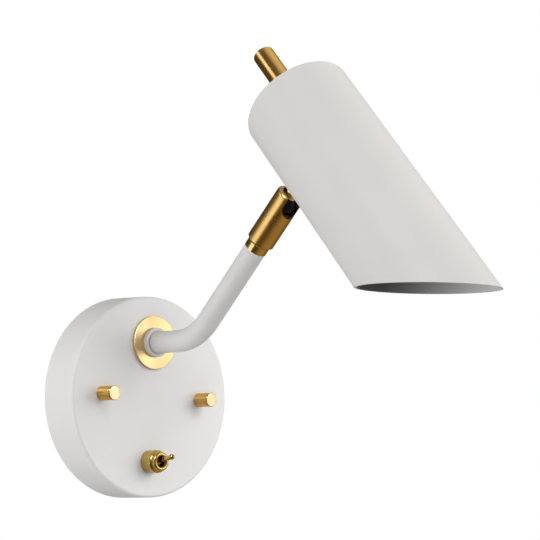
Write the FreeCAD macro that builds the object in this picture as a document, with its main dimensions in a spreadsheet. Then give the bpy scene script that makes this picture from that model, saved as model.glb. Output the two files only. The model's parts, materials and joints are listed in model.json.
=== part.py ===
"""Bedside wall reading lamp, in millimetres.

The wall is the plane y = 0. The lamp stands out from it towards -Y, and +Z is up.
The origin is the middle of the backplate's wall side, between the two wall screws.
"""
import FreeCAD
import Part

import math
import os

import Sketcher

from FreeCAD import Placement, Rotation, Vector

# ---------------------------------------------------------------- driving sizes
SIZES = {
    # backplate: a cup drawn from sheet, closed at the front
    "plate_radius": 60.0,
    "plate_flare": 0.4,
    "plate_depth": 25.4,
    "plate_wall": 1.5,
    "plate_edge": 1.8,
    # mounting bracket: a flat strap on the wall, with a tab for the terminal block
    "strap_length": 94.0,
    "strap_width": 20.0,
    "strap_thickness": 2.0,
    "slot_spacing": 50.8,
    "slot_length": 10.0,
    "slot_width": 4.6,
    "cable_hole_radius": 7.0,
    "grommet_bore_radius": 4.5,
    "grommet_lip": 1.5,
    "grommet_flange": 2.3,
    "grommet_round": 0.6,
    "tab_width": 26.0,
    "tab_drop": 31.0,
    # studs, their lock nuts and the thumb nuts that clamp the backplate
    "stud_spacing": 75.6,
    "stud_radius": 2.0,
    "stud_grip": 7.6,
    "stud_nut_flats": 7.0,
    "stud_nut_height": 3.2,
    "knob_radius": 4.25,
    "knob_length": 11.8,
    "knob_edge": 0.35,
    "knob_groove_depth": 0.22,
    "knob_groove_width": 0.35,
    "knob_cap": 1.0,
    # earth screw and ring lug on the strap
    "earth_offset": 14.5,
    "earth_screw_radius": 1.9,
    "earth_head_radius": 3.4,
    "earth_head_height": 2.4,
    "lug_thickness": 0.8,
    "lug_radius": 3.6,
    "lug_barrel": 6.0,
    "screw_slot": 0.8,
    # terminal block
    "block_pitch": 8.4,
    "block_tower_width": 6.0,
    "block_height": 15.0,
    "block_depth": 11.0,
    "block_web": 5.0,
    "block_centre_drop": 21.5,
    "terminal_screw_radius": 1.6,
    "terminal_bore_radius": 1.5,
    "terminal_slot": 0.6,
    "small_head_radius": 2.55,
    # toggle switch
    "switch_drop": 38.7,
    "switch_body_width": 13.0,
    "switch_body_height": 8.4,
    "switch_body_depth": 12.4,
    "bush_radius": 4.7,
    "bush_bore_radius": 3.2,
    "switch_nut_flats": 13.0,
    "switch_nut_height": 2.2,
    "switch_washer_radius": 7.0,
    "washer_thickness": 0.7,
    "terminal_tab_length": 4.2,
    "terminal_spread": 4.0,
    "bezel_radius": 6.8,
    "bezel_length": 11.6,
    "bezel_shoulder": 2.3,
    "bezel_ring_radius": 5.7,
    "bezel_ring_height": 2.4,
    "bezel_ring_round": 1.1,
    "bezel_front_wall": 1.6,
    "lever_pivot_out": 32.6,
    "lever_ball_radius": 2.9,
    "lever_root_radius": 1.15,
    "lever_neck_radius": 1.4,
    "lever_tip_radius": 1.75,
    "lever_length": 13.3,
    "lever_swell": 7.3,
    "lever_throw": 12.0,
    # arm: rosette, collar, nipple and the bent tube
    "arm_height": 32.4,
    "arm_radius": 6.6,
    "arm_wall": 1.5,
    "arm_straight": 23.6,
    "arm_bend": 36.4,
    "arm_rise": 45.5,
    "arm_reach": 55.3,
    "rosette_radius": 16.0,
    "rosette_thickness": 2.0,
    "rosette_bevel": 0.25,
    "collar_radius": 8.85,
    "collar_length": 3.0,
    "collar_bevel": 0.7,
    "collar_recess": 0.6,
    "nipple_radius": 5.0,
    "nipple_bore_radius": 3.2,
    "nipple_engagement": 12.0,
    "arm_nut_flats": 14.0,
    "arm_nut_height": 4.0,
    "arm_washer_radius": 8.5,
    "flex_radius": 2.5,
    "flex_tail": 4.2,
    # neck fitting and the swivel
    "neck_radius": 6.75,
    "neck_length": 4.7,
    "neck_tail": 14.0,
    "neck_washer": 0.3,
    "spigot_radius": 4.5,
    "swivel_nut_radius": 5.9,
    "swivel_nut_height": 3.0,
    "swivel_slot": 1.2,
    "swivel_slot_depth": 1.0,
    # knuckle: a brass tube with a floor, a lip and a notch
    "knuckle_radius": 8.15,
    "knuckle_length": 36.2,
    "knuckle_floor": 5.0,
    "knuckle_lip_radius": 5.4,
    "knuckle_bevel": 1.2,
    "knuckle_round": 2.2,
    "notch_width": 11.8,
    "notch_rise": 1.0,
    "pivot_from_top": 7.5,
    "seat_drop": 8.6,
    "seat_height": 4.2,
    "seat_bore_radius": 3.7,
    "spring_count": 8,
    "spring_thickness": 0.6,
    # pivot ball, its hollow stem and what the stem clamps
    "ball_radius": 6.1,
    "stem_neck_radius": 3.6,
    "stem_thread_radius": 4.0,
    "stem_bore_radius": 2.4,
    "ball_mouth": 4.2,
    "head_droop": 3.0,
    "shade_offset": 44.35,
    "stem_collar_radius": 5.3,
    "stem_collar_length": 3.2,
    "saddle_radius": 6.0,
    "saddle_thickness": 2.0,
    "stem_nut_flats": 13.0,
    "stem_nut_height": 3.5,
    "stem_end": 0.8,
    # shade
    "shade_radius": 31.95,
    "shade_wall": 1.3,
    "shade_top": 34.9,
    "shade_mouth": 114.8,
    "mouth_angle": 44.0,
    "shade_edge": 0.5,
    # rod handle on top, and its screw
    "rod_radius": 6.25,
    "rod_length": 44.8,
    "rod_edge": 0.5,
    "rod_screw_radius": 2.5,
    "rod_screw_head_radius": 4.4,
    "rod_screw_head_height": 2.8,
    "rod_screw_length": 14.0,
    "rod_washer_radius": 6.0,
    # lamp holder, its bracket and the reflector lamp
    "bracket_sheet": 1.2,
    "bracket_width": 14.0,
    "bracket_shelf": 13.0,
    "bracket_foot": 9.0,
    "bracket_reach": 13.0,
    "holder_radius": 14.0,
    "holder_height": 15.0,
    "holder_round": 1.0,
    "holder_screw_spacing": 20.0,
    "holder_screw_radius": 1.5,
    "pin_spacing": 10.0,
    "pin_radius": 2.5,
    "pin_neck_radius": 1.5,
    "pin_length": 6.0,
    "lamp_radius": 25.0,
    "lamp_length": 48.0,
    "lamp_neck_radius": 10.0,
    "lamp_neck_length": 11.0,
    "lens_radius": 22.5,
    "lens_thickness": 2.0,
    "lens_round": 0.8,
    # single cores: their place in the flex, and the turns of their routes
    "lead_radius": 1.0,
    "core_circle": 1.35,
    "lead_grip": 5.4,
    "lead_fan": 7.0,
    "lead_turn": 6.0,
    "lead_stem_side": 18.5,
    "lead_pin_side": 8.0,
    "lead_tuck": 4.0,
    # clearances
    "fit_gap": 0.05,
    "slide_gap": 0.1,
    "loose_gap": 0.2,
    "part_gap": 0.3,
}

HEX_CORNER = 1 / math.sqrt(3)   # a hexagon's corner radius for a unit across its flats
OVER = 1.0                      # how far a cutting tool stands out of what it cuts
BEND_SHARE = 0.45               # share of a wire's shorter run that a bend takes up
HEAD_ROUND = 0.4                # share of a screw head's height that is rounded off
SLOT_SHARE = 0.5                # share of a screw head's height that its slot takes
FINE = 1e-4                     # two lengths closer than this are the same

# half section of the reflector lamp's bowl: shares of the rim radius and of the bowl's depth
BOWL = ((0.58, 0.125), (0.78, 0.375), (0.93, 0.69), (1.0, 0.875))

doc = FreeCAD.newDocument("reading_lamp")
sheet = doc.addObject("Spreadsheet::Sheet", "sizes")
for row, (alias, number) in enumerate(SIZES.items(), start=1):
    sheet.set("A%d" % row, alias)
    sheet.set("B%d" % row, str(number))
    sheet.setAlias("B%d" % row, alias)
doc.recompute()


# ---------------------------------------------------------------- sizes with formulas
def value_of(length):
    """The number of a Size or of a plain number."""
    return length.value if isinstance(length, Size) else float(length)


def text_of(length):
    """The formula of a Size, or a plain number as text."""
    return length.text if isinstance(length, Size) else repr(float(length))


class Size:
    """A length that knows its number and also its formula in the sheet."""

    def __init__(self, value, text):
        self.value = value
        self.text = text

    def __add__(self, other):
        return Size(self.value + value_of(other), "(%s + %s)" % (self.text, text_of(other)))

    def __radd__(self, other):
        return Size(value_of(other) + self.value, "(%s + %s)" % (text_of(other), self.text))

    def __sub__(self, other):
        return Size(self.value - value_of(other), "(%s - %s)" % (self.text, text_of(other)))

    def __rsub__(self, other):
        return Size(value_of(other) - self.value, "(%s - %s)" % (text_of(other), self.text))

    def __mul__(self, factor):
        return Size(self.value * value_of(factor), "(%s * %s)" % (self.text, text_of(factor)))

    def __truediv__(self, factor):
        return Size(self.value / value_of(factor), "(%s / %s)" % (self.text, text_of(factor)))

    def __neg__(self):
        return Size(-self.value, "(-%s)" % self.text)


class Sheet:
    """Gives each driving size by its own name."""

    def __getattr__(self, alias):
        return Size(SIZES[alias], "sizes." + alias)


size = Sheet()


def leg(slope, side):
    """The other short side of a right-angled triangle."""
    length = math.sqrt(value_of(slope) ** 2 - value_of(side) ** 2)
    return Size(length, "sqrt((%s) ^ 2 - (%s) ^ 2)" % (text_of(slope), text_of(side)))


def rod_body(radius, low, high):
    """A lathe-turned solid cylinder, whose edges can be softened."""
    return turned([(0.0, low), (radius, low), (radius, high), (0.0, high)])


def bind(thing, path, length):
    """Tie a property to the sheet, or set it once when it is a plain number."""
    if isinstance(length, Size):
        thing.setExpression(path, length.text)
    elif path.isidentifier():
        setattr(thing, path, length)


# ---------------------------------------------------------------- building blocks
subparts = []


def fresh(kind, name):
    """A new document object; the document makes its name unique."""
    return doc.addObject(kind, name)


def place(thing, x=0.0, y=0.0, z=0.0, turn=None):
    """Put an object at x, y, z, each tied to the sheet when it is a Size."""
    spot = Vector(value_of(x), value_of(y), value_of(z))
    thing.Placement = Placement(spot, turn or Rotation())
    for path, length in (("Placement.Base.x", x), ("Placement.Base.y", y), ("Placement.Base.z", z)):
        bind(thing, path, length)
    return thing


def rod(radius, low, high, x=0.0, y=0.0, turn=None):
    """A cylinder from height low to height high."""
    made = fresh("Part::Cylinder", "rod")
    bind(made, "Radius", radius)
    bind(made, "Height", high - low)
    return place(made, x, y, low, turn)


def cross_rod(radius, start, end, x=0.0, z=0.0):
    """A cylinder that runs along Y from start to end."""
    made = fresh("Part::Cylinder", "cross_rod")
    bind(made, "Radius", radius)
    bind(made, "Height", end - start)
    return place(made, x, end, z, Rotation(Vector(1, 0, 0), 90))


def block(x_low, x_high, y_low, y_high, z_low, z_high):
    """A box between two corners."""
    made = fresh("Part::Box", "block")
    bind(made, "Length", x_high - x_low)
    bind(made, "Width", y_high - y_low)
    bind(made, "Height", z_high - z_low)
    return place(made, x_low, y_low, z_low)


def hexagon(flats, low, high, x=0.0, y=0.0):
    """A six-sided prism, as nuts are cut from."""
    made = fresh("Part::Prism", "hexagon")
    made.Polygon = 6
    bind(made, "Circumradius", flats * HEX_CORNER)
    bind(made, "Height", high - low)
    return place(made, x, y, low)


def ball(radius, z=0.0):
    """A whole sphere on the axis."""
    made = fresh("Part::Sphere", "ball")
    bind(made, "Radius", radius)
    return place(made, z=z)


def cone(low_radius, high_radius, low, high):
    """A cone or taper on the axis."""
    made = fresh("Part::Cone", "cone")
    bind(made, "Radius1", low_radius)
    bind(made, "Radius2", high_radius)
    bind(made, "Height", high - low)
    return place(made, z=low)


def join(pieces):
    """Weld shapes into one solid."""
    made = fresh("Part::MultiFuse", "join")
    made.Shapes = pieces
    made.Refine = True
    return made


def group(pieces):
    """Keep like pieces together as separate solids."""
    made = fresh("Part::Compound", "group")
    made.Links = pieces
    return made


def cut(base, tools):
    """Take every tool away from the base."""
    made = fresh("Part::Cut", "cut")
    made.Base = base
    made.Tool = tools[0] if len(tools) == 1 else join(tools)
    return made


def common(first, second):
    """Keep what two shapes share."""
    made = fresh("Part::Common", "common")
    made.Base = first
    made.Tool = second
    return made


def origin_plane(body, role):
    """One of a body's own origin planes."""
    return [plane for plane in body.Origin.OriginFeatures if plane.Role == role][0]


def pin_point(sketch, line, end, x, y):
    """Hold one end of a sketch line at x, y from the origin."""
    for kind, length in (("DistanceX", x), ("DistanceY", y)):
        held = sketch.addConstraint(Sketcher.Constraint(kind, -1, 1, line, end, value_of(length)))
        bind(sketch, "Constraints[%d]" % held, length)


def turned(profile):
    """A lathe piece about +Z from its half section, a list of (radius, height)."""
    body = fresh("PartDesign::Body", "turned")
    sketch = body.newObject("Sketcher::SketchObject", "half_section")
    sketch.AttachmentSupport = [(origin_plane(body, "XZ_Plane"), "")]
    sketch.MapMode = "FlatFace"
    corners = [Vector(value_of(radius), value_of(height), 0) for radius, height in profile]
    count = len(corners)
    for index in range(count):
        edge = Part.LineSegment(corners[index], corners[(index + 1) % count])
        sketch.addGeometry(edge, False)
    for index in range(count):
        sketch.addConstraint(Sketcher.Constraint("Coincident", index, 2, (index + 1) % count, 1))
    for index, (radius, height) in enumerate(profile):
        pin_point(sketch, index, 1, radius, height)
    lathe = body.newObject("PartDesign::Revolution", "lathe")
    lathe.Profile = sketch
    lathe.ReferenceAxis = (sketch, ["V_Axis"])
    lathe.Angle = 360
    sketch.Visibility = False
    doc.recompute()
    return body


def soften(body, kind, amount, spots):
    """Round ("Fillet") or bevel ("Chamfer") a lathe piece's edges at (radius, height) spots."""
    base = body.Tip
    names = []
    for index, edge in enumerate(base.Shape.Edges, start=1):
        if not isinstance(edge.Curve, Part.Circle):
            continue
        centre = edge.Curve.Center
        for radius, height in spots:
            same_radius = abs(edge.Curve.Radius - value_of(radius)) < FINE
            same_height = abs(centre.z - value_of(height)) < FINE
            on_axis = math.hypot(centre.x, centre.y) < FINE
            if same_radius and same_height and on_axis:
                names.append("Edge%d" % index)
    feature = body.newObject("PartDesign::" + kind, kind.lower())
    feature.Base = (base, names)
    bind(feature, "Radius" if kind == "Fillet" else "Size", amount)
    body.Tip = feature
    doc.recompute()
    return body


def ring(outer, inner, low, high):
    """A plain ring or washer."""
    return turned([(inner, low), (outer, low), (outer, high), (inner, high)])


def nut(flats, bore, low, high):
    """A hexagon nut with a plain bore and its corners taken off."""
    crown = flats * 0.5 + size.loose_gap
    blank = common(hexagon(flats, low, high), join([
        rod(crown, low, high),
        cone(crown, crown + (high - low) / 2, low, low + (high - low) / 2),
        cone(crown + (high - low) / 2, crown, low + (high - low) / 2, high),
    ]))
    return cut(blank, [rod(bore, low - OVER, high + OVER)])


def screw(head_radius, head_height, shank_radius, shank_length):
    """A slotted pan screw: its head from 0 upwards, its shank below."""
    head = soften(turned([
        (0.0, -shank_length), (shank_radius, -shank_length), (shank_radius, 0.0),
        (head_radius, 0.0), (head_radius, head_height), (0.0, head_height),
    ]), "Fillet", head_height * HEAD_ROUND, [(head_radius, head_height)])
    reach = head_radius + OVER
    half_slot = size.screw_slot / 2
    kerf = block(-reach, reach, -half_slot, half_slot, head_height * SLOT_SHARE, head_height + OVER)
    return cut(head, [kerf])


def name_part(label, thing):
    """Give a finished piece its own name and keep it for export."""
    thing.Label = label
    subparts.append(thing)
    return thing


def seat(label, thing, frame):
    """Name a piece that was modelled in one of the lamp's slanted frames and set it there."""
    thing.Placement = frame
    return name_part(label, thing)


def on_plate(label, thing, x=0.0, up=0.0, out=0.0):
    """Name a piece whose +Z points away from the wall, and set it at x, up and out."""
    place(thing, x, -out, up, Rotation(Vector(1, 0, 0), 90))
    return name_part(label, thing)


def rounded_path(points):
    """A wire of straight runs and tangent arcs through a list of points."""
    arcs = []
    for before, corner, after in zip(points, points[1:], points[2:]):
        to_before = before - corner
        to_after = after - corner
        turn = math.pi - to_before.getAngle(to_after)
        run = min(to_before.Length, to_after.Length)
        setback = BEND_SHARE * run
        radius = setback / math.tan(turn / 2)
        start = corner + to_before.normalize() * setback
        end = corner + to_after.normalize() * setback
        inward = (to_before + to_after).normalize()
        middle = corner + inward * (radius / math.cos(turn / 2) - radius)
        arcs.append((start, middle, end))
    edges = []
    here = points[0]
    for start, middle, end in arcs:
        edges.append(Part.LineSegment(here, start).toShape())
        edges.append(Part.Arc(start, middle, end).toShape())
        here = end
    edges.append(Part.LineSegment(here, points[-1]).toShape())
    return Part.Wire(edges)


def sweep(path, radius):
    """A round wire of the given radius along a path."""
    first = path.Edges[0]
    start = first.valueAt(first.FirstParameter)
    along = first.tangentAt(first.FirstParameter)
    section = Part.Wire([Part.Circle(start, along, radius).toShape()])
    return path.makePipeShell([section], True, False)


def wire_piece(label, runs, radius, frame):
    """One or more round wires, each given as a list of points in its frame."""
    made = fresh("Part::Feature", label)
    solids = [sweep(rounded_path([Vector(*point) for point in run]), radius) for run in runs]
    made.Shape = solids[0] if len(solids) == 1 else Part.makeCompound(solids)
    made.Placement = frame
    return name_part(label, made)


# ---------------------------------------------------------------- the lamp's frames
across = Vector(1, 0, 0)
rise = math.radians(SIZES["arm_rise"])
stem_rise = math.radians(SIZES["arm_rise"] - SIZES["head_droop"])

plate_frame = Placement(Vector(0, 0, 0), Rotation(across, 90))

# the arm leaves the plate level, bends upwards and runs on along arm_line
arm_line = Vector(0, -math.cos(rise), math.sin(rise))
bend_start = Vector(0, -(SIZES["plate_depth"] + SIZES["arm_straight"]), SIZES["arm_height"])
bend_run = SIZES["arm_bend"] * math.sin(rise)
bend_lift = SIZES["arm_bend"] * (1 - math.cos(rise))
bend_end = bend_start + Vector(0, -bend_run, bend_lift)
half_run = SIZES["arm_bend"] * math.sin(rise / 2)
half_lift = SIZES["arm_bend"] * (1 - math.cos(rise / 2))
bend_middle = bend_start + Vector(0, -half_run, half_lift)
arm_end = bend_end + arm_line * SIZES["arm_reach"]
neck_frame = Placement(arm_end, Rotation(across, 90 - SIZES["arm_rise"]))

# heights along the neck, from the end of the arm tube
knuckle_foot = size.neck_length + size.neck_washer
knuckle_crown = knuckle_foot + size.knuckle_length
pivot_height = knuckle_crown - size.pivot_from_top
floor_top = knuckle_foot + size.knuckle_floor
pivot = arm_end + arm_line * pivot_height.value

# the stem leans by the droop, and the shade stands square across its end
stem_line = Vector(0, -math.cos(stem_rise), math.sin(stem_rise))
stem_frame = Placement(pivot, Rotation(across, 90 - SIZES["arm_rise"] + SIZES["head_droop"]))
shade_centre = pivot + stem_line * SIZES["shade_offset"]
shade_frame = Placement(shade_centre, Rotation(across, SIZES["head_droop"] - SIZES["arm_rise"]))

# heights out from the wall
plate_front = size.plate_depth
plate_inside = size.plate_depth - size.plate_wall
arm_foot = plate_front + size.rosette_thickness
stud_offset = size.stud_spacing / 2
stud_end = plate_front + size.stud_grip
arm_bore = size.arm_radius - size.arm_wall
arm_nut_low = plate_inside - size.washer_thickness - size.arm_nut_height
flex_start = arm_nut_low - size.flex_tail


# ---------------------------------------------------------------- wall side
def make_bracket():
    """Flat steel strap with rounded ends, wall slots, a cable hole and a lower tab."""
    half_width = size.strap_width / 2
    straight = size.strap_length / 2 - half_width
    thick = size.strap_thickness
    plate = join([
        block(-straight, straight, -half_width, half_width, 0.0, thick),
        rod(half_width, 0.0, thick, x=straight),
        rod(half_width, 0.0, thick, x=-straight),
        block(-size.tab_width / 2, size.tab_width / 2, -size.tab_drop, 0.0, 0.0, thick),
    ])
    holes = [rod(size.cable_hole_radius, -thick, thick * 2)]
    slot_half = size.slot_length / 2 - size.slot_width / 2
    for side in (-1, 1):
        middle = size.slot_spacing / 2 * side
        holes.append(block(middle - slot_half, middle + slot_half,
                           -size.slot_width / 2, size.slot_width / 2, -thick, thick * 2))
        for end in (-1, 1):
            holes.append(rod(size.slot_width / 2, -thick, thick * 2, x=middle + slot_half * end))
        holes.append(rod(size.stud_radius + size.fit_gap, -thick, thick * 2, x=stud_offset * side))
    holes.append(rod(size.earth_screw_radius + size.fit_gap, -thick, thick * 2, x=-size.earth_offset))
    holes.append(rod(size.holder_screw_radius + size.fit_gap, -thick, thick * 2,
                     x=-size.block_pitch / 2, y=-size.block_centre_drop))
    on_plate("mounting_bracket", cut(plate, holes))


def make_grommet():
    """Snap bush that lines the strap's cable hole."""
    barrel = size.cable_hole_radius - size.fit_gap
    flange = size.cable_hole_radius + size.grommet_flange
    top = size.strap_thickness + size.grommet_lip
    bush = turned([
        (size.grommet_bore_radius, 0.0), (barrel, 0.0), (barrel, size.strap_thickness),
        (flange, size.strap_thickness), (flange, top), (size.grommet_bore_radius, top),
    ])
    on_plate("cable_grommet", soften(bush, "Fillet", size.grommet_round, [(flange, top)]))


def make_studs():
    """Two threaded studs that stand out of the strap, each with its lock nut."""
    studs = []
    nuts = []
    low = size.strap_thickness
    for side in (-1, 1):
        x = stud_offset * side
        studs.append(rod(size.stud_radius, 0.0, stud_end, x=x))
        lock = nut(size.stud_nut_flats, size.stud_radius + size.fit_gap, low,
                   low + size.stud_nut_height)
        place(lock, x)
        nuts.append(lock)
    on_plate("mounting_studs", group(studs))
    on_plate("stud_nuts", group(nuts))


def make_backplate():
    """Cup with a soft front edge, pierced for the studs, the arm and the switch."""
    back = size.plate_radius + size.plate_flare
    inner_front = size.plate_radius - size.plate_wall
    shell = turned([
        (0.0, plate_inside), (inner_front, plate_inside), (back - size.plate_wall, 0.0),
        (back, 0.0), (size.plate_radius, plate_front), (0.0, plate_front),
    ])
    soften(shell, "Fillet", size.plate_edge, [(size.plate_radius, plate_front)])
    low = plate_inside - OVER
    high = plate_front + OVER
    holes = [
        rod(size.nipple_radius + size.slide_gap, low, high, y=size.arm_height),
        rod(size.bush_radius + size.slide_gap, low, high, y=-size.switch_drop),
    ]
    for side in (-1, 1):
        holes.append(rod(size.stud_radius + size.loose_gap, low, high, x=stud_offset * side))
    on_plate("backplate", cut(shell, holes))


def make_thumb_nuts():
    """Plain round brass nuts with a fine groove behind the turned end face."""
    bore = size.stud_radius + size.fit_gap
    depth = size.stud_grip + size.loose_gap
    top = size.knob_length
    groove_top = top - size.knob_cap
    groove_low = groove_top - size.knob_groove_width
    groove_radius = size.knob_radius - size.knob_groove_depth
    for name, side in (("thumb_nut_left", -1), ("thumb_nut_right", 1)):
        knob = turned([
            (bore, 0.0), (size.knob_radius, 0.0), (size.knob_radius, groove_low),
            (groove_radius, groove_low), (groove_radius, groove_top), (size.knob_radius, groove_top),
            (size.knob_radius, top), (0.0, top), (0.0, depth), (bore, depth),
        ])
        soften(knob, "Chamfer", size.knob_edge, [(size.knob_radius, top)])
        on_plate(name, knob, stud_offset * side, 0.0, plate_front)


lug_barrel_radius = size.lead_radius + size.part_gap
lug_barrel_start = size.earth_head_radius + size.part_gap
lug_barrel_end = lug_barrel_start + size.lug_barrel
lug_barrel_height = size.strap_thickness + lug_barrel_radius + size.part_gap


def make_earth_point():
    """Ring lug, its tongue rolled into a barrel round the core, and the screw that holds it."""
    low = size.strap_thickness
    high = low + size.lug_thickness
    eye = cut(
        join([
            rod(size.lug_radius, low, high),
            block(-lug_barrel_radius, lug_barrel_radius, 0.0, lug_barrel_end, low, high),
            cross_rod(lug_barrel_radius, lug_barrel_start, lug_barrel_end, z=lug_barrel_height),
        ]),
        [rod(size.earth_screw_radius + size.fit_gap, 0.0, high + OVER)],
    )
    on_plate("earth_lug", eye, -size.earth_offset)
    bolt = screw(size.earth_head_radius, size.earth_head_height, size.earth_screw_radius,
                 high - size.fit_gap)
    on_plate("earth_screw", bolt, -size.earth_offset, 0.0, high)


def make_terminal_block():
    """Three-pole block on the strap's tab, its clamp screws and its fixing screw."""
    low = size.strap_thickness
    half_height = size.block_height / 2
    half_tower = size.block_tower_width / 2
    drop = size.block_centre_drop
    web_half = size.block_pitch + half_tower
    web_top = low + size.block_web
    pieces = [block(-web_half, web_half, -drop - half_height, -drop + half_height, low, web_top)]
    bores = []
    screws = []
    top = low + size.block_depth
    screw_top = top - size.terminal_screw_radius
    screw_row = size.block_height / 4
    bore_out = web_top
    clamp_low = bore_out + size.lead_radius + size.fit_gap
    half_slot = size.terminal_slot / 2
    for pole in (-1, 0, 1):
        x = size.block_pitch * pole
        pieces.append(block(x - half_tower, x + half_tower, -drop - half_height, -drop + half_height,
                            low, top))
        bores.append(cross_rod(size.terminal_bore_radius, -drop - half_height - OVER,
                               -drop + half_height + OVER, x=x, z=bore_out))
        for end in (-1, 1):
            y = -drop + screw_row * end
            bores.append(rod(size.terminal_screw_radius + size.fit_gap, bore_out, top + OVER, x=x, y=y))
            clamp = rod(size.terminal_screw_radius, clamp_low, screw_top, x=x, y=y)
            kerf = block(x - size.terminal_screw_radius * 2, x + size.terminal_screw_radius * 2,
                         y - half_slot, y + half_slot, screw_top - size.terminal_slot, top)
            screws.append(cut(clamp, [kerf]))
    fix_x = -size.block_pitch / 2
    head_low = web_top - size.holder_screw_radius
    bores.append(rod(size.holder_screw_radius + size.fit_gap, 0.0, top, x=fix_x, y=-drop))
    bores.append(rod(size.small_head_radius + size.loose_gap, head_low, top + OVER, x=fix_x, y=-drop))
    on_plate("terminal_block", cut(join(pieces), bores))
    on_plate("terminal_screws", group(screws))
    fixing = screw(size.small_head_radius, size.holder_screw_radius, size.holder_screw_radius,
                   head_low - size.fit_gap)
    on_plate("terminal_fixing_screw", fixing, fix_x, -drop, head_low)


def make_switch():
    """Toggle switch: body and bush, terminals, inner nut and washer, outer bezel, lever."""
    washer_low = plate_inside - size.washer_thickness
    nut_low = washer_low - size.switch_nut_height
    body_top = nut_low
    body_low = body_top - size.switch_body_depth
    bush_top = plate_front + size.bezel_length - size.bezel_front_wall - size.fit_gap
    half_width = size.switch_body_width / 2
    half_height = size.switch_body_height / 2
    shell = join([
        block(-half_width, half_width, -half_height, half_height, body_low, body_top),
        rod(size.bush_radius, body_top - OVER, bush_top),
    ])
    pocket = size.lever_pivot_out - size.lever_ball_radius - size.part_gap
    on_plate("switch_body", cut(shell, [rod(size.bush_bore_radius, pocket, bush_top + OVER)]),
             up=-size.switch_drop)
    tabs = []
    tab_half = size.terminal_bore_radius
    for side in (-1, 0, 1):
        x = size.terminal_spread * side
        tab = block(x - size.part_gap, x + size.part_gap, -tab_half, tab_half,
                    body_low - size.terminal_tab_length, body_low)
        tabs.append(tab)
    on_plate("switch_terminals", group(tabs), up=-size.switch_drop)
    bush_clear = size.bush_radius + size.fit_gap
    on_plate("switch_nut", nut(size.switch_nut_flats, bush_clear, nut_low, washer_low),
             up=-size.switch_drop)
    on_plate("switch_washer", ring(size.switch_washer_radius, bush_clear, washer_low, plate_inside),
             up=-size.switch_drop)
    make_bezel()
    make_lever()


def make_bezel():
    """Brass dress ring: a barrel with a soft shoulder under a fully rounded front ring."""
    top = size.bezel_length
    shoulder = top - size.bezel_ring_height + size.part_gap
    inner_top = top - size.bezel_front_wall
    barrel = soften(rod_body(size.bezel_radius, 0.0, shoulder), "Fillet", size.bezel_shoulder,
                    [(size.bezel_radius, shoulder)])
    front = ring(size.bezel_ring_radius, size.bush_bore_radius, shoulder - size.bezel_ring_height / 2, top)
    soften(front, "Fillet", size.bezel_ring_round,
           [(size.bezel_ring_radius, top), (size.bush_bore_radius, top)])
    bores = [
        rod(size.bush_radius + size.fit_gap, -OVER, inner_top),
        rod(size.bush_bore_radius, 0.0, top + OVER),
    ]
    on_plate("switch_bezel", cut(join([barrel, front]), bores), up=-size.switch_drop, out=plate_front)


def make_lever():
    """Toggle lever: pivot ball, a shaft that swells outwards, and a round tip."""
    lever = join([
        ball(size.lever_ball_radius),
        cone(size.lever_root_radius, size.lever_neck_radius, 0.0, size.lever_swell),
        rod(size.lever_neck_radius, size.lever_swell, size.lever_length),
        ball(size.lever_tip_radius, size.lever_length),
    ])
    spot = Vector(0, -SIZES["lever_pivot_out"], -SIZES["switch_drop"])
    seat("switch_lever", lever, Placement(spot, Rotation(across, 90 - SIZES["lever_throw"])))


def make_arm_foot():
    """Rosette, arm collar, nipple, and the washer and nut that draw the arm to the plate."""
    up = size.arm_height
    bore = size.nipple_radius + size.slide_gap
    disc = ring(size.rosette_radius, bore, 0.0, size.rosette_thickness)
    soften(disc, "Chamfer", size.rosette_bevel, [(size.rosette_radius, size.rosette_thickness)])
    on_plate("rosette", disc, 0.0, up, plate_front)
    inner = size.arm_radius + size.fit_gap
    top = size.collar_length
    lip = inner + size.collar_recess
    collar = turned([
        (inner, 0.0), (size.collar_radius, 0.0), (size.collar_radius, top - size.collar_bevel),
        (size.collar_radius - size.collar_bevel, top), (lip, top), (lip, top - size.collar_recess),
        (inner, top - size.collar_recess),
    ])
    on_plate("arm_collar", collar, 0.0, up, arm_foot)
    washer_low = plate_inside - size.washer_thickness
    nipple = ring(size.nipple_radius, size.nipple_bore_radius, arm_nut_low - OVER,
                  arm_foot + size.nipple_engagement)
    on_plate("arm_nipple", nipple, up=up)
    threaded = size.nipple_radius + size.fit_gap
    on_plate("arm_washer", ring(size.arm_washer_radius, threaded, washer_low, plate_inside), up=up)
    on_plate("arm_nut", nut(size.arm_nut_flats, threaded, arm_nut_low, washer_low), up=up)


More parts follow.
